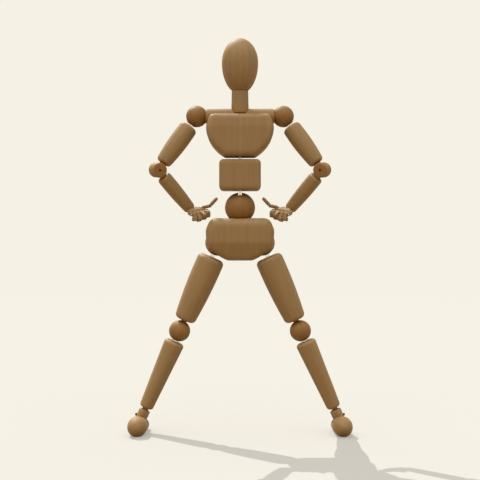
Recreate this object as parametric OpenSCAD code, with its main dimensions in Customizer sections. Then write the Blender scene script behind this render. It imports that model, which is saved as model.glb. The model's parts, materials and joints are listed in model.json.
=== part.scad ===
// Posable wooden artist's figure, standing with its legs apart and its hands at its hips.
// Millimetres, +Z up, the figure faces -Y. The origin is on the floor, in the middle of the stance.
// Each limb is modelled on the figure's left (+X) and mirrored to its right.

/* [Pose] */
// Lean of each leg out from vertical, degrees
leg_spread = 23.75; // [16:0.05:28]
// Turn-out of each foot, degrees
foot_turn = 6; // [0:0.5:12]
// Forward swing of each upper arm, degrees
arm_swing = 11.2; // [8:0.1:16]
// Lean of each upper arm out from the body, degrees
arm_spread = 34.6; // [30:0.1:40]
// Inward turn of each elbow about its upper arm, degrees
arm_twist = 28.7; // [22:0.1:34]
// Bend of each elbow from straight, degrees
elbow_bend = 78.7; // [70:0.1:80]
// Tip of each hand at the wrist, degrees
hand_tip = 14.2; // [10:0.1:22]
// Roll of each hand at the wrist, degrees
hand_roll = -32.6; // [-38:0.1:-24]
// Turn of each hand at the wrist, degrees
hand_turn = -8.1; // [-20:0.1:-8]
// Curl of each finger at its knuckle, degrees
finger_curl = 58; // [40:1:66]
// Bend in the middle of each finger, degrees
finger_bend = 98; // [80:1:104]

/* [Head and neck] */
// Width of the egg-shaped head
head_w = 27.1; // [24:0.1:30]
// Height of the head above its widest line
head_upper_h = 18.4; // [16:0.1:21]
// Height of the head below its widest line
head_lower_h = 23.1; // [20:0.1:26]
// Height of the neck above its seat
neck_h = 17.1; // [12:0.1:20]
// Diameter of the neck at the top
neck_top_d = 12.3; // [11:0.1:13]
// Diameter of the neck at the bottom
neck_bottom_d = 13; // [11:0.1:14]

/* [Torso] */
// Width of the chest
chest_w = 50.2; // [46:0.1:54]
// Depth of the chest
chest_depth = 27; // [22:0.1:30]
// Height of the chest
chest_h = 31.5; // [30:0.1:35]
// Height of the chest's widest line below its top
chest_shoulder_h = 10; // [9:0.1:11]
// Diameter of the shoulder yoke
yoke_d = 11.6; // [10:0.1:12]
// How far the yoke stands above the chest
yoke_rise = 4.6; // [3.5:0.1:5]
// Depth of the neck's seat in the yoke
neck_seat = 4.1; // [3:0.1:4.4]
// Distance of each shoulder ball from the middle
shoulder_half = 32.2; // [31:0.1:36]
// Width of the abdomen
abdomen_w = 30.8; // [27:0.1:36]
// Depth of the abdomen
abdomen_depth = 24; // [20:0.1:28]
// Height of the abdomen
abdomen_h = 23; // [21:0.1:28]
// Gap between the abdomen and the chest
chest_gap = 2; // [1.2:0.1:2.4]
// Gap between the waist ball and the abdomen
waist_gap = 1.35; // [1:0.05:2]
// Diameter of the waist ball
waist_ball_d = 22.5; // [20:0.1:24]
// How far the waist ball sinks into the pelvis
waist_sink = 3.4; // [2.5:0.1:4.5]
// Depth of the pelvis
pelvis_depth = 26; // [24:0.1:30]
// Height of the pelvis above the hip line
pelvis_rise = 18.2; // [16:0.1:21]
// Depth of the pelvis below the hip line
pelvis_drop = 13.3; // [12.5:0.1:15]
// Distance of each hip ball from the middle
hip_half = 16.1; // [15.5:0.05:18]

/* [Legs] */
// Diameter of the hip balls
hip_ball_d = 19.6; // [18.6:0.1:20.4]
// How far each hip ball stands out of the pelvis
hip_proud = 1; // [0.8:0.05:1.3]
// Gap between each hip ball and its thigh
hip_gap = 1.9; // [1.7:0.1:2.8]
// Length of the thighs
thigh_len = 51.4; // [46:0.1:60]
// Diameter of the thighs at the top
thigh_top_d = 20.4; // [18:0.1:21]
// Diameter of the thighs at the bottom
thigh_bottom_d = 16.2; // [14:0.1:18]
// How far the middle of the thigh swells past a straight taper
thigh_swell = 0.7; // [0.1:0.1:1]
// Diameter of the knee balls
knee_ball_d = 15.8; // [14.4:0.1:17]
// Length of the shins
shin_len = 54; // [48:0.5:62]
// Diameter of the shins at the top
shin_top_d = 15.2; // [13:0.1:16]
// Diameter of the shins at the bottom
shin_bottom_d = 10.5; // [9.2:0.1:12]
// Diameter of the ankle blocks
ankle_d = 8.4; // [8:0.1:9]
// Height of each ankle block above its pin
ankle_rise = 5.7; // [5:0.1:7]
// Height of the ankle pins above the floor
ankle_h = 11.1; // [10.6:0.1:13]
// Length of each foot from the ankle pin to the tip of the toe
toe_len = 26.5; // [24:0.1:30]
// Length of each foot from the ankle pin to the back of the heel
heel_len = 13; // [12:0.1:16]
// Width of each foot at the toe
toe_w = 14.2; // [13:0.1:16]
// Height of each foot at the toe
toe_h = 14.2; // [13:0.1:15]

/* [Arms] */
// Diameter of the shoulder balls
shoulder_ball_d = 16; // [15:0.1:17]
// Gap between each shoulder ball and its upper arm
shoulder_gap = 1.5; // [1:0.1:2]
// Length of the upper arms
upper_arm_len = 34.1; // [31:0.1:40]
// Diameter of the upper arms at the top
upper_arm_top_d = 13.8; // [12.4:0.1:15]
// Diameter of the upper arms at the bottom
upper_arm_bottom_d = 11.7; // [11:0.1:12.8]
// How far the middle of the upper arm swells past a straight taper
upper_arm_swell = 0.7; // [0.1:0.1:1]
// Diameter of the elbow barrels
elbow_d = 11.2; // [10.4:0.1:12]
// Length of the elbow barrels
elbow_len = 11; // [10:0.1:11.6]
// Length of the forearms
forearm_len = 33; // [28:0.1:36]
// Diameter of the forearms at the top
forearm_top_d = 10.7; // [10.2:0.1:11.8]
// Diameter of the forearms at the bottom
forearm_bottom_d = 8.8; // [8.2:0.1:10]
// How far the middle of the forearm swells past a straight taper
forearm_swell = 0.4; // [0.1:0.1:0.8]

/* [Hands] */
// Length of the palm from the wrist to the knuckles
palm_len = 11; // [10:0.1:13]
// Thickness of the palm at the knuckles
palm_t = 4.6; // [4.2:0.1:5.6]
// Diameter of the fingers
finger_d = 2.85; // [2.6:0.05:3.1]
// Length of the inner half of each finger
finger_inner_len = 4.7; // [4.2:0.1:5.4]
// Length of the outer half of each finger
finger_outer_len = 2.7; // [2.5:0.1:3.4]
// Gap between neighbouring fingers
finger_gap = 0.3; // [0.3:0.05:0.4]
// Thickness of the ears that hold the knuckle pin
ear_t = 0.8; // [0.7:0.05:1.1]
// Diameter of the knuckle pin
knuckle_pin_d = 1; // [0.8:0.05:1.1]
// Diameter of the thumb
thumb_d = 2.7; // [2.5:0.05:3]
// Length of the thumb's base
thumb_base_len = 5.6; // [5:0.1:7]
// Length of the thumb's tip
thumb_tip_len = 7.4; // [6:0.1:8]
// Bend of the thumb, degrees
thumb_bend = 33; // [24:1:44]

/* [Joints] */
// Clearance between a ball and its cup
ball_gap = 0.35; // [0.3:0.05:0.4]
// Gap between a ball or barrel and the end of its limb
end_gap = 0.7; // [0.5:0.05:0.9]
// Clearance between faces that turn on each other
turn_gap = 0.6; // [0.4:0.05:0.9]
// Running clearance around pins and spigots
run_fit = 0.06; // [0.04:0.01:0.08]
// Clearance around pieces that are fixed in place
fixed_fit = 0.03; // [0.02:0.01:0.05]
// Thickness of the steel tongues
tongue_t = 2; // [1.6:0.1:2.2]
// Width of the steel tongues
tongue_w = 3.4; // [3:0.1:3.8]
// Clearance around a tongue in its slot
slot_gap = 0.3; // [0.25:0.05:0.4]
// Diameter of the tongues' cross pins
cross_pin_d = 1.6; // [1.4:0.1:1.8]
// Diameter of the tongues' stems
stem_d = 3; // [2.6:0.1:3.4]
// Length of the tongues' stems
stem_len = 9; // [8:0.5:10]
// Diameter of the turned spigots
spigot_d = 4.4; // [4:0.1:4.8]
// Length of the turned spigots
spigot_len = 8; // [7:0.5:9]
// Diameter of the elbow and ankle pins
pin_d = 1.9; // [1.6:0.1:2.2]
// Diameter of the steel post between abdomen and chest
chest_post_d = 2.4; // [2:0.1:3]
// Diameter of the hip rod
hip_rod_d = 3; // [2.6:0.1:3.4]

/* [Travel] */
// Free travel of the head, waist and hip slots each way, degrees
slot_swing = 26; // [20:1:28]
// Travel of each thigh from rest, degrees
hip_swing = 32; // [26:1:34]
// Travel of each upper arm up from rest, degrees
arm_lift = 75; // [60:1:80]
// Travel of each upper arm down from rest, degrees
arm_drop = 20; // [14:1:24]
// Bend of each knee, degrees
knee_travel = 84; // [60:1:88]
// Least bend of each elbow, degrees
elbow_min = 6; // [4:1:12]
// Greatest bend of each elbow, degrees
elbow_max = 86; // [84:1:88]
// Travel of each foot from rest each way, degrees
foot_swing = 20; // [14:1:22]

/* [Hidden] */
$fn = 72;
hull_fn = 28;
arc_steps = 8;
swell_steps = 10;
egg_steps = 20;
tiny = 0.02;

// How far a cut runs past the face it opens on
spare = 1;

// Length of the tongues' cross pins
cross_pin_len = 9;

// Rounding of edges, by piece
limb_edge = 2.4;
thigh_edge = 3.5;
forearm_edge = 2;
small_edge = 1.4;
chest_edge = 4;
chest_corner_in = 1.7;
chest_corner_back = 0.7;
chest_draw = 1.26;
yoke_edge = 2.4;
abdomen_edge = 3;
pelvis_edge = 6.4;
pelvis_corner_in = 2.4;
pelvis_side_h = 8.2;
pelvis_side_out = 0.5;
cheek_edge = 5;
cheek_trim = 7.4;
crotch_edge = 5;
crotch_half = 13;
crotch_in = 3;
ankle_edge = 0.8;

// Colours
limb_wood = [0.60, 0.46, 0.30];
ball_wood = [0.52, 0.36, 0.21];
steel = [0.62, 0.62, 0.60];
dark_steel = [0.22, 0.17, 0.13];

// Leg, measured down its own line from the hip
hip_r = hip_ball_d / 2;
cheek_r = hip_r - hip_proud;
thigh_start = hip_r + hip_gap;
knee_r = knee_ball_d / 2;
knee_dist = thigh_start + thigh_len + end_gap + knee_r;
shin_start = knee_r + end_gap;
ankle_gap = 1.6;
ankle_dist = knee_dist + shin_start + shin_len + ankle_gap + ankle_rise;
ankle_x = hip_half + ankle_dist * sin(leg_spread);
hip_z = ankle_h + ankle_dist * cos(leg_spread);

// Foot: two rounded ends sunk below the floor by sole_cut and cut flat
sole_cut = 0.8;
toe_round = 9.5;
heel_round = 6;
heel_w = 8;
heel_h = 8.6;
instep_w = 9;
instep_h = 10.4;
function reach(along, across) = sqrt(pow(along * cos(foot_turn), 2) + pow(across * sin(foot_turn), 2));
toe_front = (toe_len - toe_round) * cos(foot_turn) + reach(toe_round, toe_w / 2);
heel_back = (heel_len - heel_round) * cos(foot_turn) + reach(heel_round, heel_w / 2);
body_y = (toe_front - heel_back) / 2;

// Torso, from the hips up
pelvis_top = hip_z + pelvis_rise;
waist_r = waist_ball_d / 2;
waist_z = pelvis_top + waist_r - waist_sink;
abdomen_z = waist_z + waist_r + waist_gap;
chest_z = abdomen_z + abdomen_h + chest_gap;
chest_top = chest_z + chest_h;
post_sink = stem_len;
post_z = abdomen_z + abdomen_h - post_sink;
yoke_r = yoke_d / 2;
shoulder_z = chest_top + yoke_rise - yoke_r;
shoulder_r = shoulder_ball_d / 2;
cup_r = shoulder_r + ball_gap;
yoke_half = shoulder_half - sqrt(cup_r * cup_r - yoke_r * yoke_r) - tiny;
neck_gap = 0.12;
seat_z = chest_top + yoke_rise - neck_seat;
neck_z = seat_z + neck_gap;
neck_top = neck_z + neck_h;

// Head: half ellipses above and below, ending in a round chin that nods in the neck's cup
chin_turn = 35;
head_r = head_w / 2;
chin_drop = (head_lower_h - head_r * head_r / head_lower_h) * cos(chin_turn);
chin_r = sqrt(pow(head_r * sin(chin_turn), 2) + pow(head_lower_h * cos(chin_turn) - chin_drop, 2));
chin_cup = chin_r + ball_gap;
nod_z = neck_top + sqrt(chin_cup * chin_cup - pow(neck_top_d / 2, 2));
head_z = nod_z + chin_drop;

// Arm, measured down its own line from the shoulder
upper_arm_start = shoulder_r + shoulder_gap;
elbow_r = elbow_d / 2;
elbow_end_gap = 0.8;
elbow_dist = upper_arm_start + upper_arm_len + elbow_end_gap + elbow_r;
forearm_start = elbow_r + elbow_end_gap;
wrist_gap = 0.4;
wrist_dist = forearm_start + forearm_len + wrist_gap;

// Hand
hand_shift = 1.4;
wrist_r = 3.3;
finger_r = finger_d / 2;
finger_pitch = finger_d + finger_gap;
finger_count = 4;
ear_inner = (finger_count - 1) / 2 * finger_pitch + finger_r + finger_gap;
hand_half = ear_inner + ear_t;
knuckle_r = 1.07 * finger_r;
finger_scale = [0.9, 1, 1, 0.82];
finger_relax = [62, 48, 10, 0];
joint_taper = 0.99;
middle_taper = 0.97;
tip_taper = 0.92;
thumb_r = thumb_d / 2;
thumb_x = -3;
thumb_y = -3.6;
thumb_z = 1.3;
thumb_start = 3.6;
thumb_rise = 13;
thumb_forward = 42;
thumb_eye_r = 0.85;
thumb_tongue_t = 0.9;
thumb_pin_d = 0.7;
thumb_slot_gap = 0.15;
thumb_swing = 18;
thumb_gap = 0.3;
wrist_spigot_d = 3.6;
thumb_spigot_d = 1.5;
thumb_spigot_len = 2.2;

limb_names = ["hip_ball", "thigh", "thigh_tongue", "knee_ball", "shin", "shin_tongue", "ankle", "ankle_pin",
    "foot", "shoulder_ball", "upper_arm", "upper_arm_tongue", "elbow", "elbow_pin", "forearm",
    "forearm_tongue", "palm", "knuckle_pin", "index_finger", "middle_finger", "ring_finger",
    "little_finger", "thumb_base", "thumb_tip"];
finger_names = ["index_finger", "middle_finger", "ring_finger", "little_finger"];
sides = ["right", "left"];

// Points of an arc
function arc(cx, cy, r, a0, a1) = [for (i = [0 : arc_steps])
    let (a = a0 + (a1 - a0) * i / arc_steps) [cx + r * cos(a), cy + r * sin(a)]];

// Half outline of a turned limb that stands on the origin, with rounded edges and a swelling middle
function limb_outline(h, r_bottom, r_top, edge, swell = 0) = concat([[0, 0]],
    arc(r_bottom - edge, edge, edge, -90, 0),
    swell == 0 ? [] : [for (i = [1 : swell_steps - 1]) let (t = i / swell_steps)
        [r_bottom + (r_top - r_bottom) * t + 4 * swell * t * (1 - t), edge + (h - 2 * edge) * t]],
    arc(r_top - edge, h - edge, edge, 0, 90), [[0, h]]);

// Side outline of a bent finger whose knuckle is at the origin: round ends, a round joint and a sharp crook
function finger_outline(inner, outer, r, bend) = let (
    crook = inner - r * tan(bend / 2),
    tip_x = inner + outer * cos(bend),
    tip_y = outer * sin(bend)) concat(
    arc(0, 0, r, 270, 90), [[crook, r]],
    arc(tip_x, tip_y, r, bend + 90, bend - 90), arc(inner, 0, r, bend - 90, -90));

// A turned limb from `start` to `start + len` down the -Z line
module turned_limb(start, len, top_d, bottom_d, edge, swell = 0) {
    translate([0, 0, -start - len])
        rotate_extrude() polygon(limb_outline(len, bottom_d / 2, top_d / 2, edge, swell));
}

// A bore down the -Z line, open at `start`
module bore_down(start, len, d) {
    translate([0, 0, -start - len]) cylinder(h = len + tiny, d = d);
}

// A rod on the Y axis, centred
module cross_rod(len, d) {
    rotate([90, 0, 0]) cylinder(h = len, d = d, center = true);
}

// The round room for an eye is this much wider than the room for its plate
eye_room = 0.2;

// A steel tongue: its eye and cross pin at the origin, its plate and stem down -Z
module tongue(plate_len, pin_len) {
    cross_rod(tongue_t, tongue_w);
    translate([-tongue_w / 2, -tongue_t / 2, -plate_len]) cube([tongue_w, tongue_t, plate_len]);
    translate([0, 0, -plate_len - stem_len]) cylinder(h = stem_len + tiny, d = stem_d);
    if (pin_len > 0) cross_rod(pin_len, cross_pin_d);
}

// The slot that a tongue needs to swing from a0 to a1 about Y, with its pin bore
module tongue_slot(a0, a1, depth, pin_len) {
    half = tongue_w / 2 + slot_gap;
    wide = tongue_t + 2 * slot_gap;
    cross_rod(wide, 2 * half + eye_room);
    for (a = [a0, a1]) rotate([0, a, 0]) translate([-half, -wide / 2, -depth]) cube([2 * half, wide, depth]);
    rotate([90, 0, 0]) rotate([0, 0, 270 - a1])
        rotate_extrude(angle = a1 - a0) translate([0, -wide / 2]) square([depth, wide]);
    if (pin_len > 0) cross_rod(pin_len + 2 * run_fit, cross_pin_d + 2 * run_fit);
}

// A block whose corners are balls at the given points
module rounded_hull(points, r) {
    hull() for (p = points) translate(p) sphere(r, $fn = hull_fn);
}

// The four mirrored copies of a corner point
function corners(x, y, z) = [for (i = [-1, 1]) for (j = [-1, 1]) [i * x, j * y, z]];

// Places along each limb, on the figure's left
module on_side(side) {
    if (side == "left") children();
    else mirror([1, 0, 0]) children();
}
module at_hip() { translate([hip_half, body_y, hip_z]) children(); }
module at_leg() { at_hip() rotate([0, -leg_spread, 0]) children(); }
module at_knee() { at_leg() translate([0, 0, -knee_dist]) children(); }
module at_ankle() { at_leg() translate([0, 0, -ankle_dist]) children(); }
module at_foot() { translate([ankle_x, body_y, 0]) rotate([0, 0, foot_turn]) children(); }
module at_shoulder() { translate([shoulder_half, body_y, shoulder_z]) rotate([-arm_swing, 0, 0]) children(); }
module at_upper_arm() { at_shoulder() rotate([0, -arm_spread, 0]) children(); }
module at_elbow() { at_upper_arm() translate([0, 0, -elbow_dist]) rotate([0, 0, -arm_twist]) children(); }
module at_forearm() { at_elbow() rotate([0, elbow_bend, 0]) children(); }
module at_hand() {
    at_forearm() translate([0, 0, -wrist_dist]) rotate([hand_tip, hand_roll, hand_turn])
        translate([-hand_shift, 0, 0]) children();
}
module at_knuckle(i) {
    at_hand() translate([(i - (finger_count - 1) / 2) * finger_pitch, -palm_len, 0])
        rotate([finger_curl - finger_relax[i], 0, 0]) children();
}
module at_thumb() {
    at_hand() translate([thumb_x, thumb_y, thumb_z])
        rotate([0, 0, thumb_forward]) rotate([0, 90 + thumb_rise, 0]) children();
}
module at_thumb_tip() {
    at_thumb() translate([0, 0, -thumb_start - thumb_base_len]) rotate([0, thumb_bend, 0]) children();
}

// Turn the Y hinge of a tongue to X
module hinge_on_x() { rotate([0, 0, 90]) children(); }

module head() {
    upper = [for (i = [0 : egg_steps]) let (t = 90 * i / egg_steps) [head_r * sin(t), head_upper_h * cos(t)]];
    lower = [for (i = [1 : egg_steps]) let (t = 90 - (90 - chin_turn) * i / egg_steps)
        [head_r * sin(t), -head_lower_h * cos(t)]];
    chin_a = atan2(head_r * sin(chin_turn), head_lower_h * cos(chin_turn) - chin_drop);
    chin = arc(0, -chin_drop, chin_r, chin_a - 90, -90);
    skin = concat(upper, lower, [for (i = [1 : arc_steps - 1]) chin[i]], [[0, -chin_drop - chin_r]]);
    color(limb_wood) difference() {
        translate([0, body_y, head_z]) rotate_extrude() polygon(skin);
        translate([0, body_y, nod_z]) hinge_on_x()
            tongue_slot(-slot_swing, slot_swing, chin_cup + spare, cross_pin_len);
    }
}

module neck() {
    color(limb_wood) difference() {
        translate([0, body_y, neck_z]) union() {
            rotate_extrude() polygon(concat([[0, 0]],
                arc(neck_bottom_d / 2 - small_edge, small_edge, small_edge, -90, 0),
                [[neck_top_d / 2, neck_h], [0, neck_h]]));
            translate([0, 0, -spigot_len]) cylinder(h = spigot_len + tiny, d = spigot_d);
        }
        translate([0, body_y, nod_z]) sphere(chin_cup);
        translate([0, body_y, nod_z]) bore_down(chin_r, stem_len + fixed_fit, stem_d + 2 * fixed_fit);
    }
}

module head_tongue() {
    color(steel) translate([0, body_y, nod_z]) hinge_on_x() tongue(chin_r, cross_pin_len);
}

module chest() {
    low_r = chest_w / 2 - chest_edge;
    middle_z = chest_top - chest_shoulder_h;
    deep = chest_depth / 2 - chest_edge;
    bottom_turn = acos(min(1, (middle_z - chest_z - chest_edge) / low_r));
    steps = 5;
    turns = [for (i = [0 : steps]) 90 - (90 - bottom_turn) * i / steps];
    points = concat([for (t = turns)
            each corners(low_r * pow(sin(t), chest_draw), deep, middle_z - low_r * cos(t))],
        corners(low_r - chest_corner_in, deep - chest_corner_back, chest_top - chest_edge));
    color(limb_wood) difference() {
        translate([0, body_y, 0]) rounded_hull(points, chest_edge);
        translate([-chest_w, body_y, shoulder_z]) rotate([0, 90, 0])
            cylinder(h = 2 * chest_w, d = yoke_d + 2 * fixed_fit);
        translate([0, body_y, seat_z - spigot_len - spare])
            cylinder(h = spigot_len + 2 * spare, d = spigot_d + 2 * run_fit);
        translate([0, body_y, chest_z - spare])
            cylinder(h = spare + spigot_len - chest_gap + turn_gap, d = chest_post_d + 2 * run_fit);
    }
}

module shoulder_yoke() {
    color(limb_wood) difference() {
        translate([-yoke_half, body_y, shoulder_z]) rotate([0, 90, 0])
            rotate_extrude() polygon(limb_outline(2 * yoke_half, yoke_r, yoke_r, yoke_edge));
        for (i = [-1, 1]) translate([i * shoulder_half, body_y, shoulder_z]) {
            sphere(cup_r);
            rotate([0, -90 * i, 0])
                cylinder(h = cup_r + spigot_len + turn_gap, d = spigot_d + 2 * run_fit);
        }
        translate([0, body_y, seat_z]) cylinder(h = yoke_d, d = neck_bottom_d + 2 * ball_gap);
        translate([0, body_y, seat_z - yoke_d]) cylinder(h = yoke_d + spare, d = spigot_d + 2 * run_fit);
    }
}

module abdomen() {
    wide = abdomen_w / 2 - abdomen_edge;
    deep = abdomen_depth / 2 - abdomen_edge;
    high = abdomen_h - abdomen_edge;
    color(limb_wood) difference() {
        translate([0, body_y, abdomen_z])
            rounded_hull(concat(corners(wide, deep, abdomen_edge), corners(wide, deep, high)), abdomen_edge);
        translate([0, body_y, abdomen_z - tiny])
            cylinder(h = stem_len + fixed_fit + tiny, d = stem_d + 2 * fixed_fit);
        translate([0, body_y, post_z - fixed_fit])
            cylinder(h = post_sink + fixed_fit + tiny, d = chest_post_d + 2 * fixed_fit);
    }
}

module chest_post() {
    color(steel) translate([0, body_y, post_z]) cylinder(h = post_sink + spigot_len, d = chest_post_d);
}

module waist_ball() {
    color(ball_wood) translate([0, body_y, waist_z]) difference() {
        union() {
            sphere(waist_r);
            bore_down(waist_r - spare, spigot_len + spare, spigot_d);
        }
        rotate([180, 0, 0]) hinge_on_x() tongue_slot(-slot_swing, slot_swing, waist_r + spare, cross_pin_len);
    }
}

module waist_tongue() {
    color(steel) translate([0, body_y, waist_z]) rotate([180, 0, 0]) hinge_on_x()
        tongue(waist_r + waist_gap, cross_pin_len);
}

module pelvis() {
    deep = pelvis_depth / 2;
    ring = cheek_r - cheek_edge;
    cheek_turns = [-60, -15, 15, 40, 65, 85];
    top_half = hip_half + ring - pelvis_corner_in;
    side_half = hip_half + cheek_r - pelvis_edge + pelvis_side_out;
    crotch_z = hip_z - pelvis_drop + crotch_edge;
    opening_d = 2 * ((hip_r + ball_gap) * sin(hip_swing) + tongue_w / 2);
    color(limb_wood) difference() {
        translate([0, body_y, 0]) hull() {
            for (p = corners(top_half, deep - pelvis_edge, pelvis_top - pelvis_edge))
                translate(p) sphere(pelvis_edge, $fn = hull_fn);
            for (p = corners(side_half, deep - pelvis_edge, hip_z + pelvis_side_h))
                translate(p) sphere(pelvis_edge, $fn = hull_fn);
            for (t = cheek_turns)
                for (p = corners(hip_half + ring * cos(t), deep - cheek_edge - crotch_in * max(0, sin(t)),
                        hip_z - ring * sin(t)))
                    translate(p) sphere(cheek_edge, $fn = hull_fn);
            for (p = corners(crotch_half - crotch_edge, deep - crotch_edge - crotch_in, crotch_z))
                translate(p) sphere(crotch_edge, $fn = hull_fn);
        }
        translate([0, body_y, waist_z]) sphere(waist_r + ball_gap);
        translate([0, body_y, waist_z]) bore_down(waist_r - spare, spigot_len + spare + turn_gap,
            spigot_d + 2 * run_fit);
        for (s = sides) on_side(s) {
            at_hip() sphere(hip_r + ball_gap);
            at_leg() bore_down(cheek_trim, hip_r, opening_d);
        }
        translate([0, body_y, hip_z]) rotate([0, 90, 0])
            cylinder(h = 2 * hip_half, d = hip_rod_d + 2 * fixed_fit, center = true);
    }
}

// The rod stops short of each hip ball's middle, where the thigh's tongue turns
hip_rod_stop = tongue_w / 2 + slot_gap + spare;
hip_rod_gap = 0.3;

module hip_rod() {
    color(steel) translate([0, body_y, hip_z]) rotate([0, 90, 0])
        cylinder(h = 2 * (hip_half - hip_rod_stop), d = hip_rod_d, center = true);
}

module hip_ball() {
    color(ball_wood) difference() {
        at_hip() sphere(hip_r);
        at_leg() tongue_slot(-hip_swing, hip_swing, hip_r + spare, cross_pin_len);
        at_hip() rotate([0, -90, 0]) translate([0, 0, hip_rod_stop - hip_rod_gap])
            cylinder(h = hip_r, d = hip_rod_d + 2 * run_fit);
    }
}

module thigh() {
    color(limb_wood) at_leg() difference() {
        turned_limb(thigh_start, thigh_len, thigh_top_d, thigh_bottom_d, thigh_edge, thigh_swell);
        bore_down(thigh_start - tiny, stem_len + tiny + fixed_fit, stem_d + 2 * fixed_fit);
        translate([0, 0, -thigh_start - thigh_len - tiny])
            cylinder(h = spigot_len + turn_gap, d = spigot_d + 2 * run_fit);
    }
}

module thigh_tongue() {
    color(steel) at_leg() tongue(thigh_start, cross_pin_len);
}

module knee_ball() {
    color(ball_wood) at_knee() difference() {
        union() {
            sphere(knee_r);
            cylinder(h = knee_r + end_gap + spigot_len, d = spigot_d);
        }
        hinge_on_x() tongue_slot(-knee_travel, 0, knee_r + spare, cross_pin_len);
    }
}

module shin() {
    color(limb_wood) at_knee() difference() {
        turned_limb(shin_start, shin_len, shin_top_d, shin_bottom_d, limb_edge);
        bore_down(shin_start - tiny, stem_len + tiny + fixed_fit, stem_d + 2 * fixed_fit);
        translate([0, 0, -shin_start - shin_len - tiny])
            cylinder(h = spigot_len + turn_gap, d = spigot_d + 2 * run_fit);
    }
}

module shin_tongue() {
    color(steel) at_knee() hinge_on_x() tongue(shin_start, cross_pin_len);
}

// The ankle's round underside is this much fuller than its own radius
ankle_full = 0.2;

// Foot tenon that turns in the ankle block on its pin
tenon_t = 2.8;
ankle_low_r = ankle_d / 2 + ankle_full;
tenon_r = 2.6;
tenon_root = 2;

// The ankle pin ends inside the block on one side and stands out of it on the other
pin_in = 0.3;
pin_out = 1.1;

module ankle() {
    color(limb_wood) at_ankle() difference() {
        union() {
            translate([0, 0, ankle_rise])
                turned_limb(0, ankle_rise + ankle_low_r + small_edge, ankle_d, ankle_d, ankle_edge);
            cylinder(h = ankle_rise + ankle_gap + spigot_len, d = spigot_d);
        }
        difference() {
            translate([-ankle_d, -ankle_d, -2 * ankle_d]) cube([2 * ankle_d, 2 * ankle_d, 2 * ankle_d]);
            rotate([0, 90, 0]) cylinder(h = 4 * ankle_d, r = ankle_low_r, center = true);
        }
        rotate([0, 90, 0]) cylinder(h = 2 * ankle_d, d = pin_d + 2 * fixed_fit, center = true);
        hinge_on_x() ankle_pocket(ankle_low_r + spare);
    }
}

// Room for the foot's tenon to swing about Y
module ankle_pocket(depth) {
    half = tenon_r + slot_gap;
    wide = tenon_t + 2 * slot_gap;
    cross_rod(wide, 2 * half + eye_room);
    for (a = [-foot_swing, foot_swing])
        rotate([0, a, 0]) translate([-half, -wide / 2, -depth]) cube([2 * half, wide, depth]);
    rotate([90, 0, 0]) rotate([0, 0, 270 - foot_swing])
        rotate_extrude(angle = 2 * foot_swing) translate([0, -wide / 2]) square([depth, wide]);
}

module ankle_pin() {
    color(dark_steel) at_ankle() rotate([0, 90, 0])
        translate([0, 0, -ankle_d / 2 + pin_in]) cylinder(h = ankle_d - pin_in + pin_out, d = pin_d);
}

module foot() {
    seat_r = ankle_low_r + ball_gap;
    color(limb_wood) difference() {
        union() {
            difference() {
                at_foot() hull() {
                    translate([0, -toe_len + toe_round, (toe_h - sole_cut) / 2])
                        scale([toe_w / 2, toe_round, (toe_h + sole_cut) / 2]) sphere(1, $fn = hull_fn);
                    translate([0, heel_len - heel_round, (heel_h - sole_cut) / 2])
                        scale([heel_w / 2, heel_round, (heel_h + sole_cut) / 2]) sphere(1, $fn = hull_fn);
                    translate([0, 0, (instep_h - sole_cut) / 2])
                        scale([instep_w / 2, heel_round, (instep_h + sole_cut) / 2]) sphere(1, $fn = hull_fn);
                }
                at_ankle() rotate([0, 90, 0]) cylinder(h = 4 * ankle_d, r = seat_r, center = true);
            }
            at_ankle() rotate([0, 90, 0]) cylinder(h = tenon_t, r = tenon_r, center = true);
            at_ankle() translate([-tenon_t / 2, -tenon_r, -seat_r - tenon_root])
                cube([tenon_t, 2 * tenon_r, seat_r + tenon_root]);
        }
        at_ankle() rotate([0, 90, 0]) cylinder(h = 2 * tenon_t, d = pin_d + 2 * run_fit, center = true);
        translate([ankle_x - 2 * toe_len, body_y - 2 * toe_len, -2 * toe_h])
            cube([4 * toe_len, 4 * toe_len, 2 * toe_h]);
    }
}

// Turns the shoulder ball's seam to the top, clear of its slot and spigot
shoulder_seam = -100;

module shoulder_ball() {
    color(ball_wood) difference() {
        union() {
            at_shoulder() rotate([0, shoulder_seam, 0]) rotate([90, 0, 0]) sphere(shoulder_r);
            at_shoulder() rotate([0, -90, 0]) cylinder(h = cup_r + spigot_len, d = spigot_d);
        }
        at_upper_arm() tongue_slot(-arm_lift, arm_drop, shoulder_r + spare, cross_pin_len);
    }
}

module upper_arm() {
    color(limb_wood) at_upper_arm() difference() {
        turned_limb(upper_arm_start, upper_arm_len, upper_arm_top_d, upper_arm_bottom_d, limb_edge,
            upper_arm_swell);
        bore_down(upper_arm_start - tiny, stem_len + tiny + fixed_fit, stem_d + 2 * fixed_fit);
        translate([0, 0, -upper_arm_start - upper_arm_len - tiny])
            cylinder(h = spigot_len + turn_gap, d = spigot_d + 2 * run_fit);
    }
}

module upper_arm_tongue() {
    color(steel) at_upper_arm() tongue(upper_arm_start, cross_pin_len);
}

module elbow() {
    barrel = limb_outline(elbow_len, elbow_r, elbow_r, small_edge);
    color(ball_wood) at_elbow() difference() {
        union() {
            rotate([90, 0, 0]) translate([0, 0, -elbow_len / 2]) rotate_extrude() polygon(barrel);
            cylinder(h = elbow_r + elbow_end_gap + spigot_len, d = spigot_d);
        }
        tongue_slot(elbow_min, elbow_max, elbow_r + spare, 0);
        cross_rod(2 * elbow_len, pin_d + 2 * fixed_fit);
    }
}

pin_proud = 0.15;

module elbow_pin() {
    color(dark_steel) at_elbow() cross_rod(elbow_len + 2 * pin_proud, pin_d);
}

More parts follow.
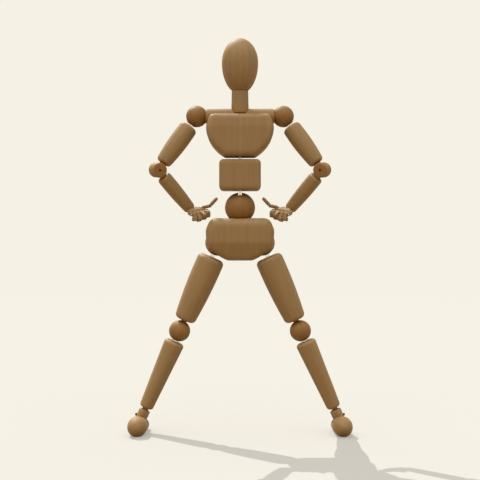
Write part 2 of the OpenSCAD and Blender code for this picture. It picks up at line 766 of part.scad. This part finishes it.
module forearm() {
    color(limb_wood) at_forearm() difference() {
        turned_limb(forearm_start, forearm_len, forearm_top_d, forearm_bottom_d, forearm_edge, forearm_swell);
        bore_down(forearm_start - tiny, stem_len + tiny + fixed_fit, stem_d + 2 * fixed_fit);
        translate([0, 0, -forearm_start - forearm_len - tiny])
            cylinder(h = spigot_len + turn_gap, d = wrist_spigot_d + 2 * run_fit);
    }
}

module forearm_tongue() {
    color(steel) at_forearm() difference() {
        tongue(forearm_start, 0);
        cross_rod(2 * tongue_t, pin_d + 2 * run_fit);
    }
}

module palm() {
    edge = palm_t / 2;
    root_y = -palm_len + knuckle_r + finger_gap + edge;
    color(limb_wood) difference() {
        union() {
            difference() {
                at_hand() hull() {
                    translate([hand_shift, -wrist_r / 2, 0]) sphere(wrist_r, $fn = hull_fn);
                    for (i = [-1, 1])
                        translate([i * (hand_half - edge), root_y, 0]) sphere(edge, $fn = hull_fn);
                }
                at_forearm() translate([0, 0, -wrist_dist])
                    cylinder(h = palm_len, d = forearm_bottom_d + 2 * turn_gap);
            }
            for (i = [-1, 1]) at_hand() hull() {
                translate([i * (hand_half - ear_t / 2), -palm_len, 0])
                    rotate([0, 90, 0]) cylinder(h = ear_t, r = knuckle_r, center = true, $fn = hull_fn);
                translate([i * (hand_half - ear_t / 2), root_y, 0])
                    rotate([0, 90, 0]) cylinder(h = ear_t, r = knuckle_r, center = true, $fn = hull_fn);
            }
            at_forearm() translate([0, 0, -wrist_dist - wrist_r / 2])
                cylinder(h = spigot_len + wrist_gap + wrist_r / 2, d = wrist_spigot_d);
        }
        at_hand() translate([0, -palm_len, 0]) rotate([0, 90, 0]) {
            cylinder(h = 2 * ear_inner, r = knuckle_r + ball_gap, center = true);
            cylinder(h = 4 * hand_half, d = knuckle_pin_d + 2 * fixed_fit, center = true);
        }
        at_thumb() bore_down(0, thumb_start, thumb_spigot_d + 2 * run_fit);
        at_thumb() bore_down(thumb_start - thumb_gap, thumb_base_len, thumb_d + 2 * ball_gap);
    }
}

module knuckle_pin() {
    color(steel) at_hand() translate([0, -palm_len, 0]) rotate([0, 90, 0])
        cylinder(h = 2 * hand_half - pin_in, d = knuckle_pin_d, center = true);
}

module finger(i) {
    inner = finger_inner_len * finger_scale[i];
    outer = finger_outer_len * finger_scale[i];
    color(limb_wood) at_knuckle(i) difference() {
        rotate([-90, 0, -90]) linear_extrude(finger_d, center = true)
            polygon(finger_outline(inner, outer, finger_r, finger_bend));
        rotate([0, 90, 0]) cylinder(h = 2 * finger_d, d = knuckle_pin_d + 2 * run_fit, center = true);
    }
}

module thumb_base() {
    hinge = thumb_start + thumb_base_len;
    color(limb_wood) at_thumb() difference() {
        union() {
            bore_down(thumb_start - thumb_spigot_len, thumb_spigot_len + tiny, thumb_spigot_d);
            bore_down(thumb_start, thumb_base_len, middle_taper * thumb_d);
            translate([0, 0, -hinge]) sphere(thumb_r);
        }
        translate([0, 0, -hinge]) {
            thumb_slot(thumb_bend - thumb_swing, thumb_bend + thumb_swing);
            cross_rod(2 * thumb_d, thumb_pin_d + 2 * run_fit);
        }
    }
}

// Room for the thumb tip's tongue to swing about Y
module thumb_slot(a0, a1) {
    half = thumb_eye_r + thumb_slot_gap;
    wide = thumb_tongue_t + 2 * thumb_slot_gap;
    cross_rod(wide, 2 * half + eye_room);
    for (a = [a0, (a0 + a1) / 2, a1])
        rotate([0, a, 0]) translate([-half, -wide / 2, -thumb_d]) cube([2 * half, wide, thumb_d]);
}

module thumb_tip() {
    tip_r = tip_taper * thumb_r;
    tip_start = thumb_r + thumb_gap;
    color(limb_wood) at_thumb_tip() {
        cross_rod(thumb_tongue_t, 2 * thumb_eye_r);
        cross_rod(thumb_d - 2 * pin_in, thumb_pin_d);
        translate([-thumb_eye_r, -thumb_tongue_t / 2, -tip_start - thumb_gap])
            cube([2 * thumb_eye_r, thumb_tongue_t, tip_start + thumb_gap]);
        translate([0, 0, -thumb_tip_len])
            cylinder(h = thumb_tip_len - tip_start, r1 = tip_r, r2 = joint_taper * thumb_r);
        translate([0, 0, -thumb_tip_len]) sphere(tip_r);
    }
}

head();
neck();
head_tongue();
chest();
shoulder_yoke();
chest_post();
abdomen();
waist_ball();
waist_tongue();
pelvis();
hip_rod();
for (s = sides) on_side(s) {
    hip_ball();
    thigh();
    thigh_tongue();
    knee_ball();
    shin();
    shin_tongue();
    ankle();
    ankle_pin();
    foot();
    shoulder_ball();
    upper_arm();
    upper_arm_tongue();
    elbow();
    elbow_pin();
    forearm();
    forearm_tongue();
    palm();
    knuckle_pin();
    for (i = [0 : finger_count - 1])
        finger(i);
    thumb_base();
    thumb_tip();
}
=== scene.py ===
"""A wooden artist's figure standing with its hands at its hips, dressed around its CAD frame."""

import json
import math

import bmesh
import bpy
import numpy as np
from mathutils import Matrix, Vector

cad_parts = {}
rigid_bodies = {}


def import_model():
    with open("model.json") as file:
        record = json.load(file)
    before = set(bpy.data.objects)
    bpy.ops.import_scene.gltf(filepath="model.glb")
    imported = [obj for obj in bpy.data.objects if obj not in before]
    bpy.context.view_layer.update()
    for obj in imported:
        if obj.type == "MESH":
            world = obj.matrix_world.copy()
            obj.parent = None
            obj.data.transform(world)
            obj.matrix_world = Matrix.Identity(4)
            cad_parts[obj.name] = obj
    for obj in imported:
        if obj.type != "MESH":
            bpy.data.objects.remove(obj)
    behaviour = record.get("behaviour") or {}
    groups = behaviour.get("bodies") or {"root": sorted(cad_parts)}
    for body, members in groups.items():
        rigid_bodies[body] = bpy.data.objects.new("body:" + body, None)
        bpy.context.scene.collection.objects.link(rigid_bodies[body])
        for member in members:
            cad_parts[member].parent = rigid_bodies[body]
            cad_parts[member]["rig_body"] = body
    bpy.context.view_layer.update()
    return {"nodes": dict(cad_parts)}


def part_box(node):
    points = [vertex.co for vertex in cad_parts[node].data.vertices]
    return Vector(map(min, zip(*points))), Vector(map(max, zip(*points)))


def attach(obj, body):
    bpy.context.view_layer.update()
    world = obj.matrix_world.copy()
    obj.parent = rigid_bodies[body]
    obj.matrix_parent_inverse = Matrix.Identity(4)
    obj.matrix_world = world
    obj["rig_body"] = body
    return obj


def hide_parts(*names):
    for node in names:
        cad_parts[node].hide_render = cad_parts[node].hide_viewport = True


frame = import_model()
nodes = frame["nodes"]
scene = bpy.context.scene
MM = 0.001
SIDES = ("right", "left")
FINGERS = ("index", "middle", "ring", "little")

# Camera: level, straight in front of the chest's middle, with a square 27 degree view
CAMERA_BACK = 0.745
CAMERA_HEIGHT = 0.1427
LENS_MM = 75
SENSOR_MM = 36
body_y = sum(corner.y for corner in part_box("chest")) / 2

# Sun: from behind on the left. Its light shifts this far to the right and front per metre of fall
SUN_SHIFT_X = 0.40
SUN_SHIFT_Y = -0.76
SUN_STRENGTH = 3.5
SUN_ANGLE = math.radians(0.3)
SUN_COLOUR = (0.95, 1.02, 1.1)

# Key: a wide soft light from above and a little in front
KEY_FROM = (-0.14, -0.32, 0.94)
KEY_STRENGTH = 1.9
KEY_ANGLE = math.radians(60)
KEY_COLOUR = (0.94, 1.0, 1.08)

# Sky: soft light from all round, strongest overhead
SKY_TOP = 1.32
SKY_SIDE = 0.24
SKY_TOP_COLOUR = (0.9, 1.03, 1.16, 1.0)
SKY_SIDE_COLOUR = (1.0, 0.97, 0.9, 1.0)

# Floor: just below the soles. The bounce is the colour that lights the figure from below
FLOOR_SIZE = 40.0
FLOOR_DROP = 0.00005
FLOOR_ALBEDO = 0.388
FLOOR_TINT = (1.025, 0.945, 0.88)
FLOOR_GLOW = 0.336
FLOOR_BOUNCE = (0.358, 0.26, 0.158, 1.0)

# Between these distances the floor fades into the background, so that no far edge shows
FADE_START = 0.9
FADE_END = 2.4

# Wood: size of each kind of mark across and along the grain, in mm
BROAD_MM = (4.0, 90.0)
STREAK_MM = (0.9, 45.0)
FIBRE_MM = (0.22, 7.0)
RING_MM = (14.0, 160.0)
RING_WOBBLE = 2.2
RING_WOBBLE_SCALE = 1.4

# Wood: the noise values between which a mark goes from faint to full
BROAD_RANGE = (0.25, 0.75)
STREAK_RANGE = (0.35, 0.75)
PORE_RANGE = (0.62, 0.78)
RUBBED_RANGE = (0.3, 0.6)

# Wood: how strongly each mark shows, and its brightness beside the plain wood
LIGHT_PART = 0.7
STREAK_SHARE = 0.55
RING_SHARE = 0.35
PORE_SHARE = 0.30
PORE_SHADE = 0.62
END_SHARE = 0.25
END_SHADE = 0.72
WORN_SHARE = 0.5
WORN_SHADE = 1.3

# Wood: gloss and surface
WOOD_GLOSS = 0.3
FIBRE_ROUGHNESS = 0.16
WORN_POLISH = 0.08
STREAK_HEIGHT = 0.6
PORE_HEIGHT = -0.7
GRAIN_BUMP = 0.25
GRAIN_DEPTH = 0.06 * MM

# Steel: scratches and stains per metre, and how strongly they show
SCRATCHES = (4000, 4000, 700)
SCRATCH_ROUGHNESS = 0.25
SCRATCH_BUMP = 0.2
SCRATCH_DEPTH = 0.02 * MM
STAINS = 900.0
STAIN_RANGE = (0.45, 0.7)
STAIN_SHADE = 0.8

# A piece this much longer than it is wide has its grain along its length
LONG = 1.7

# End grain starts where the surface faces this far along the grain, from 0 to 1
END_START = 0.6

# Wear starts at this bend of the surface per mm, and is full at this much more
WEAR_START = 0.12
WEAR_SPAN = 0.25

# Mesh work: distance of points that are one, smallest squared edge, sanding strength and sharp edges
WELD = 1e-6
TINY = 1e-12
SANDING = 0.5
SHARP = math.radians(38)


def linear(red, green, blue):
    """A colour from the usual 0 to 255 values."""
    def channel(value):
        value /= 255
        return value / 12.92 if value <= 0.04045 else ((value + 0.055) / 1.055) ** 2.4
    return (channel(red), channel(green), channel(blue), 1.0)


def shade(colour, factor):
    """A colour made darker or lighter."""
    return tuple(min(1.0, channel * factor) for channel in colour[:3]) + (1.0,)


PAPER = linear(246, 241, 229)
LIMB_WOOD = linear(150, 115, 70)
BALL_WOOD = linear(139, 96, 44)
STEEL = linear(244, 242, 236)
DARK_PIN = linear(30, 18, 10)


class Graph:
    """A short way to write a material's nodes."""

    def __init__(self, tree):
        self.tree = tree
        self.tree.nodes.clear()

    def feed(self, socket, value):
        """Links a socket to another, or sets its value."""
        if isinstance(value, bpy.types.NodeSocket):
            self.tree.links.new(value, socket)
        else:
            socket.default_value = value

    def add(self, kind, inputs=None, **settings):
        node = self.tree.nodes.new(kind)
        for name, value in settings.items():
            setattr(node, name, value)
        for name, value in (inputs or {}).items():
            self.feed(node.inputs[name], value)
        return node

    def math(self, operation, first, second=0.0, clamp=False):
        node = self.add("ShaderNodeMath", {0: first, 1: second}, operation=operation, use_clamp=clamp)
        return node.outputs[0]

    def times(self, value, factor):
        return self.math("MULTIPLY", value, factor)

    def mix(self, factor, first, second):
        """A colour between first and second."""
        node = self.add("ShaderNodeMix", data_type="RGBA")
        sockets = {socket.identifier: socket for socket in node.inputs}
        self.feed(sockets["Factor_Float"], factor)
        self.feed(sockets["A_Color"], first)
        self.feed(sockets["B_Color"], second)
        return next(socket for socket in node.outputs if socket.identifier == "Result_Color")

    def ramp(self, value, low, high, to_low=0.0, to_high=1.0):
        """Spreads value from low..high to to_low..to_high, clamped."""
        node = self.add("ShaderNodeMapRange", {
            "Value": value, "From Min": low, "From Max": high, "To Min": to_low, "To Max": to_high})
        return node.outputs[0]

    def noise(self, coords, detail, scale=1.0, roughness=0.5):
        node = self.add("ShaderNodeTexNoise", {
            "Vector": coords, "Scale": scale, "Detail": detail, "Roughness": roughness})
        return node.outputs["Fac"]

    def scaled(self, coords, scale):
        return self.add("ShaderNodeMapping", {"Vector": coords, "Scale": scale}).outputs[0]

    def bump(self, height, strength, depth):
        node = self.add("ShaderNodeBump", {"Height": height, "Strength": strength, "Distance": depth})
        return node.outputs[0]


def new_material(name):
    material = bpy.data.materials.new(name)
    material.use_nodes = True
    return material, Graph(material.node_tree)


def stretched(graph, coords, size):
    """Grain coordinates scaled to marks of that size across and along, in mm."""
    across, along = size
    return graph.scaled(coords, (1 / across, 1 / across, 1 / along))


def wood(name, colour, contrast, roughness):
    """Turned hardwood under a satin finish. Its grain runs along each piece's own axis."""
    material, graph = new_material(name)
    coords = graph.add("ShaderNodeAttribute", attribute_name="grain").outputs["Vector"]
    wear = graph.add("ShaderNodeAttribute", attribute_name="wear").outputs["Fac"]
    end = graph.add("ShaderNodeAttribute", attribute_name="end").outputs["Fac"]

    broad = graph.noise(stretched(graph, coords, BROAD_MM), detail=2.0)
    streak = graph.noise(stretched(graph, coords, STREAK_MM), detail=4.0, roughness=0.6)
    fibre = graph.noise(stretched(graph, coords, FIBRE_MM), detail=2.0)
    rings = graph.add("ShaderNodeTexWave", {
        "Vector": stretched(graph, coords, RING_MM), "Scale": 1.0, "Distortion": RING_WOBBLE, "Detail": 2.0,
        "Detail Scale": RING_WOBBLE_SCALE}, wave_type="RINGS", rings_direction="Z").outputs["Fac"]
    pores = graph.ramp(fibre, *PORE_RANGE)
    rubbed = graph.math("MULTIPLY", wear, graph.ramp(streak, *RUBBED_RANGE))

    dark = shade(colour, 1 - contrast)
    light = shade(colour, 1 + LIGHT_PART * contrast)
    tone = graph.mix(graph.ramp(broad, *BROAD_RANGE), dark, light)
    tone = graph.mix(graph.times(graph.ramp(streak, *STREAK_RANGE), STREAK_SHARE), tone, dark)
    tone = graph.mix(graph.times(rings, RING_SHARE), tone, dark)
    tone = graph.mix(graph.times(pores, PORE_SHARE), tone, shade(colour, PORE_SHADE))
    tone = graph.mix(graph.times(end, END_SHARE), tone, shade(colour, END_SHADE))
    tone = graph.mix(graph.times(rubbed, WORN_SHARE), tone, shade(colour, WORN_SHADE))

    rough = graph.math("ADD", roughness, graph.times(fibre, FIBRE_ROUGHNESS))
    rough = graph.math("SUBTRACT", rough, graph.times(rubbed, WORN_POLISH))
    height = graph.math("ADD", graph.times(streak, STREAK_HEIGHT), graph.times(pores, PORE_HEIGHT))
    shader = graph.add("ShaderNodeBsdfPrincipled", {
        "Base Color": tone, "Roughness": rough, "Normal": graph.bump(height, GRAIN_BUMP, GRAIN_DEPTH),
        "Specular IOR Level": WOOD_GLOSS})
    graph.add("ShaderNodeOutputMaterial", {"Surface": shader.outputs[0]})
    return material


def metal(name, colour, roughness, shine):
    """Drawn steel with fine scratches and small stains."""
    material, graph = new_material(name)
    coords = graph.add("ShaderNodeTexCoord").outputs["Object"]
    scratch = graph.noise(graph.scaled(coords, SCRATCHES), detail=3.0)
    stain = graph.noise(coords, detail=3.0, scale=STAINS)
    tone = graph.mix(graph.ramp(stain, *STAIN_RANGE), colour, shade(colour, STAIN_SHADE))
    rough = graph.math("ADD", roughness, graph.times(scratch, SCRATCH_ROUGHNESS))
    shader = graph.add("ShaderNodeBsdfPrincipled", {
        "Base Color": tone, "Roughness": rough, "Normal": graph.bump(scratch, SCRATCH_BUMP, SCRATCH_DEPTH),
        "Metallic": shine})
    graph.add("ShaderNodeOutputMaterial", {"Surface": shader.outputs[0]})
    return material


FINISH = {
    "limb_wood": wood("limb_wood", LIMB_WOOD, contrast=0.14, roughness=0.55),
    "ball_wood": wood("ball_wood", BALL_WOOD, contrast=0.14, roughness=0.53),
    "steel": metal("steel", STEEL, roughness=0.12, shine=1.0),
    "dark_pin": metal("dark_pin", DARK_PIN, roughness=0.45, shine=0.2),
}


def node_slot(node):
    """The record's material slot of a CAD node."""
    name = node.split("_", 1)[1] if node.startswith(SIDES) else node
    if name in ("elbow_pin", "ankle_pin"):
        return "dark_pin"
    if name.endswith(("tongue", "rod", "post", "knuckle_pin")):
        return "steel"
    if name.endswith("ball") or name == "elbow":
        return "ball_wood"
    return "limb_wood"


def add_object(name, data):
    """A new object in the scene."""
    made = bpy.data.objects.new(name, data)
    scene.collection.objects.link(made)
    return made


def grain_frame(points):
    """Centre of a piece and a turn that lays its grain along Z."""
    centre = (points.min(0) + points.max(0)) / 2
    values, vectors = np.linalg.eigh(np.cov((points - centre).T))
    axis = Vector(vectors[:, 2]) if values[2] > LONG ** 2 * values[1] else Vector((0, 0, 1))
    if axis.z < 0:
        axis.negate()
    turn = axis.rotation_difference(Vector((0, 0, 1))).to_matrix()
    return centre, np.array(turn)


def timber_place(number):
    """Where in the timber a piece is cut from, in mm, so that no two show the same grain."""
    return np.array([9 + 5 * math.sin(number * 2.4), 13 + 4 * math.cos(number * 1.7), 61.0 * number])


def edge_wear(mesh, points, normals):
    """How worn each point of a mesh is, from 0 to 1. Outer edges wear, and hollows don't."""
    ends = np.empty(len(mesh.edges) * 2, int)
    mesh.edges.foreach_get("vertices", ends)
    first, second = ends.reshape(-1, 2).T
    span = points[second] - points[first]
    squared = np.maximum((span ** 2).sum(1), TINY)
    bend = ((normals[second] - normals[first]) * span).sum(1) / squared
    total = np.bincount(ends, np.repeat(bend, 2), len(points))
    neighbours = np.maximum(np.bincount(ends, minlength=len(points)), 1)
    return np.clip((total / neighbours * MM - WEAR_START) / WEAR_SPAN, 0, 1)


def read_vectors(mesh, field):
    """One row of three numbers for each point of a mesh."""
    values = np.empty(len(mesh.vertices) * 3)
    mesh.vertices.foreach_get(field, values)
    return values.reshape(-1, 3)


def write_field(mesh, name, kind, field, values):
    """Stores values on a mesh's points, for its material to read."""
    attribute = mesh.attributes.new(name, kind, "POINT")
    attribute.data.foreach_set(field, np.ascontiguousarray(values, np.float32).ravel())


def paint(mesh, number):
    """Writes the grain, end grain and edge wear of a piece."""
    points = read_vectors(mesh, "co")
    normals = read_vectors(mesh, "normal")
    centre, turn = grain_frame(points)
    facing = np.abs(normals @ turn.T[:, 2])
    grain = (points - centre) @ turn.T / MM + timber_place(number)
    end = np.clip((facing - END_START) / (1 - END_START), 0, 1)
    write_field(mesh, "grain", "FLOAT_VECTOR", "vector", grain)
    write_field(mesh, "end", "FLOAT", "value", end)
    write_field(mesh, "wear", "FLOAT", "value", edge_wear(mesh, points, normals))


def finished(name, mesh, node, number):
    """Makes a new piece that stands for a CAD node and moves with its body."""
    piece = add_object(name, mesh)
    mesh.materials.clear()
    mesh.materials.append(FINISH[node_slot(node)])
    mesh.polygons.foreach_set("use_smooth", [True] * len(mesh.polygons))
    paint(mesh, number)
    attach(piece, nodes[node]["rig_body"])
    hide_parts(node)


def welded(node):
    """A copy of a CAD node's mesh with its seams closed."""
    mesh = nodes[node].data.copy()
    work = bmesh.new()
    work.from_mesh(mesh)
    bmesh.ops.remove_doubles(work, verts=work.verts, dist=WELD)
    work.to_mesh(mesh)
    work.free()
    if mesh.attributes.get("custom_normal"):
        mesh.attributes.remove(mesh.attributes["custom_normal"])
    return mesh


def sanded(node, voxel_mm, rounds):
    """A CAD node's mesh made dense and even, with its edges sanded round."""
    rough = add_object("rough", welded(node))
    remesh = rough.modifiers.new("remesh", "REMESH")
    remesh.mode = "VOXEL"
    remesh.voxel_size = voxel_mm * MM
    smooth = rough.modifiers.new("smooth", "SMOOTH")
    smooth.factor = SANDING
    smooth.iterations = rounds
    graph = bpy.context.evaluated_depsgraph_get()
    mesh = bpy.data.meshes.new_from_object(rough.evaluated_get(graph))
    bpy.data.objects.remove(rough)
    return mesh


# Pieces that the CAD builds from flat facets, with their voxel in mm and rounds of sanding
SANDED = {"chest": (0.6, 20), "abdomen": (0.6, 8), "pelvis": (0.6, 8)}
for side in SIDES:
    SANDED[side + "_foot"] = (0.28, 8)
    SANDED[side + "_palm"] = (0.2, 4)
    for finger in FINGERS:
        SANDED[side + "_" + finger + "_finger"] = (0.15, 8)

# The metal nodes keep their shape, and each wooden one gets a finer piece in its place
for number, node in enumerate(sorted(nodes)):
    if node_slot(node) in ("steel", "dark_pin"):
        nodes[node].data.materials.clear()
        nodes[node].data.materials.append(FINISH[node_slot(node)])
        continue
    mesh = sanded(node, *SANDED[node]) if node in SANDED else welded(node)
    finished("wood_" + node, mesh, node, number)
    if node not in SANDED:
        mesh.set_sharp_from_angle(angle=SHARP)

# Floor: plain and pale, and it keeps the sun's shadow
floor_mesh = bpy.data.meshes.new("floor")
reach = FLOOR_SIZE / 2
corners = [(-reach, -reach), (reach, -reach), (reach, reach), (-reach, reach)]
floor_mesh.from_pydata([(x, y, -FLOOR_DROP) for x, y in corners], [], [(0, 1, 2, 3)])
floor = add_object("floor", floor_mesh)


def seen_rays(graph):
    """1 for rays that show the background: straight, mirrored and through glass."""
    path = graph.add("ShaderNodeLightPath")
    seen = graph.math("ADD", path.outputs["Is Camera Ray"], path.outputs["Is Glossy Ray"])
    return graph.math("ADD", seen, path.outputs["Is Transmission Ray"], clamp=True)


floor_material, graph = new_material("floor_paper")
matte_colour = tuple(FLOOR_ALBEDO * part * channel for part, channel in zip(FLOOR_TINT, PAPER)) + (1.0,)
seen = seen_rays(graph)
matte = graph.add("ShaderNodeBsdfDiffuse", {"Color": graph.mix(seen, FLOOR_BOUNCE, matte_colour)})
glow = graph.add("ShaderNodeEmission", {"Color": PAPER, "Strength": graph.times(seen, FLOOR_GLOW)})
near = graph.add("ShaderNodeAddShader", {0: matte.outputs[0], 1: glow.outputs[0]})
far = graph.add("ShaderNodeEmission", {"Color": PAPER, "Strength": 1.0})
place = graph.add("ShaderNodeTexCoord").outputs["Object"]
distance = graph.add("ShaderNodeVectorMath", {0: place}, operation="LENGTH").outputs["Value"]
fade = graph.math("MULTIPLY", seen, graph.ramp(distance, FADE_START, FADE_END))
faded = graph.add("ShaderNodeMixShader", {0: fade, 1: near.outputs[0], 2: far.outputs[0]})
graph.add("ShaderNodeOutputMaterial", {"Surface": faded.outputs[0]})
floor_mesh.materials.append(floor_material)

# World: a soft sky for light, and the paper colour where it is seen
world = bpy.data.worlds.new("studio")
world.use_nodes = True
scene.world = world
graph = Graph(world.node_tree)
direction = graph.add("ShaderNodeTexCoord").outputs["Generated"]
up = graph.add("ShaderNodeSeparateXYZ", {"Vector": direction}).outputs["Z"]
sky_strength = graph.ramp(up, 0.0, 1.0, SKY_SIDE, SKY_TOP)
sky_colour = graph.mix(graph.ramp(up, 0.0, 1.0), SKY_SIDE_COLOUR, SKY_TOP_COLOUR)
sky = graph.add("ShaderNodeBackground", {"Color": sky_colour, "Strength": sky_strength})
paper = graph.add("ShaderNodeBackground", {"Color": PAPER, "Strength": 1.0})
choice = graph.add("ShaderNodeMixShader", {0: seen_rays(graph), 1: sky.outputs[0], 2: paper.outputs[0]})
graph.add("ShaderNodeOutputWorld", {"Surface": choice.outputs[0]})


def add_sun(name, shines, strength, angle, colour):
    """A lamp that shines the same way everywhere."""
    lamp = bpy.data.lights.new(name, "SUN")
    lamp.energy = strength
    lamp.angle = angle
    lamp.color = colour
    sun = add_object(name, lamp)
    sun.rotation_mode = "QUATERNION"
    sun.rotation_quaternion = shines.to_track_quat("-Z", "Y")
    return sun


add_sun("sun", Vector((SUN_SHIFT_X, SUN_SHIFT_Y, -1.0)), SUN_STRENGTH, SUN_ANGLE, SUN_COLOUR)
key = add_sun("key", -Vector(KEY_FROM), KEY_STRENGTH, KEY_ANGLE, KEY_COLOUR)

# The key leaves the floor out, because in the photograph only the sun throws a shadow
unlit = bpy.data.collections.new("unlit_by_key")
unlit.objects.link(floor)
unlit.collection_objects[0].light_linking.link_state = "EXCLUDE"
key.light_linking.receiver_collection = unlit

# The camera itself, and plain colours
camera_data = bpy.data.cameras.new("camera")
camera_data.lens = LENS_MM
camera_data.sensor_width = SENSOR_MM
camera = add_object("camera", camera_data)
camera.location = (0.0, body_y - CAMERA_BACK, CAMERA_HEIGHT)
camera.rotation_euler = (math.radians(90), 0.0, 0.0)
scene.camera = camera
scene.view_settings.view_transform = "Standard"
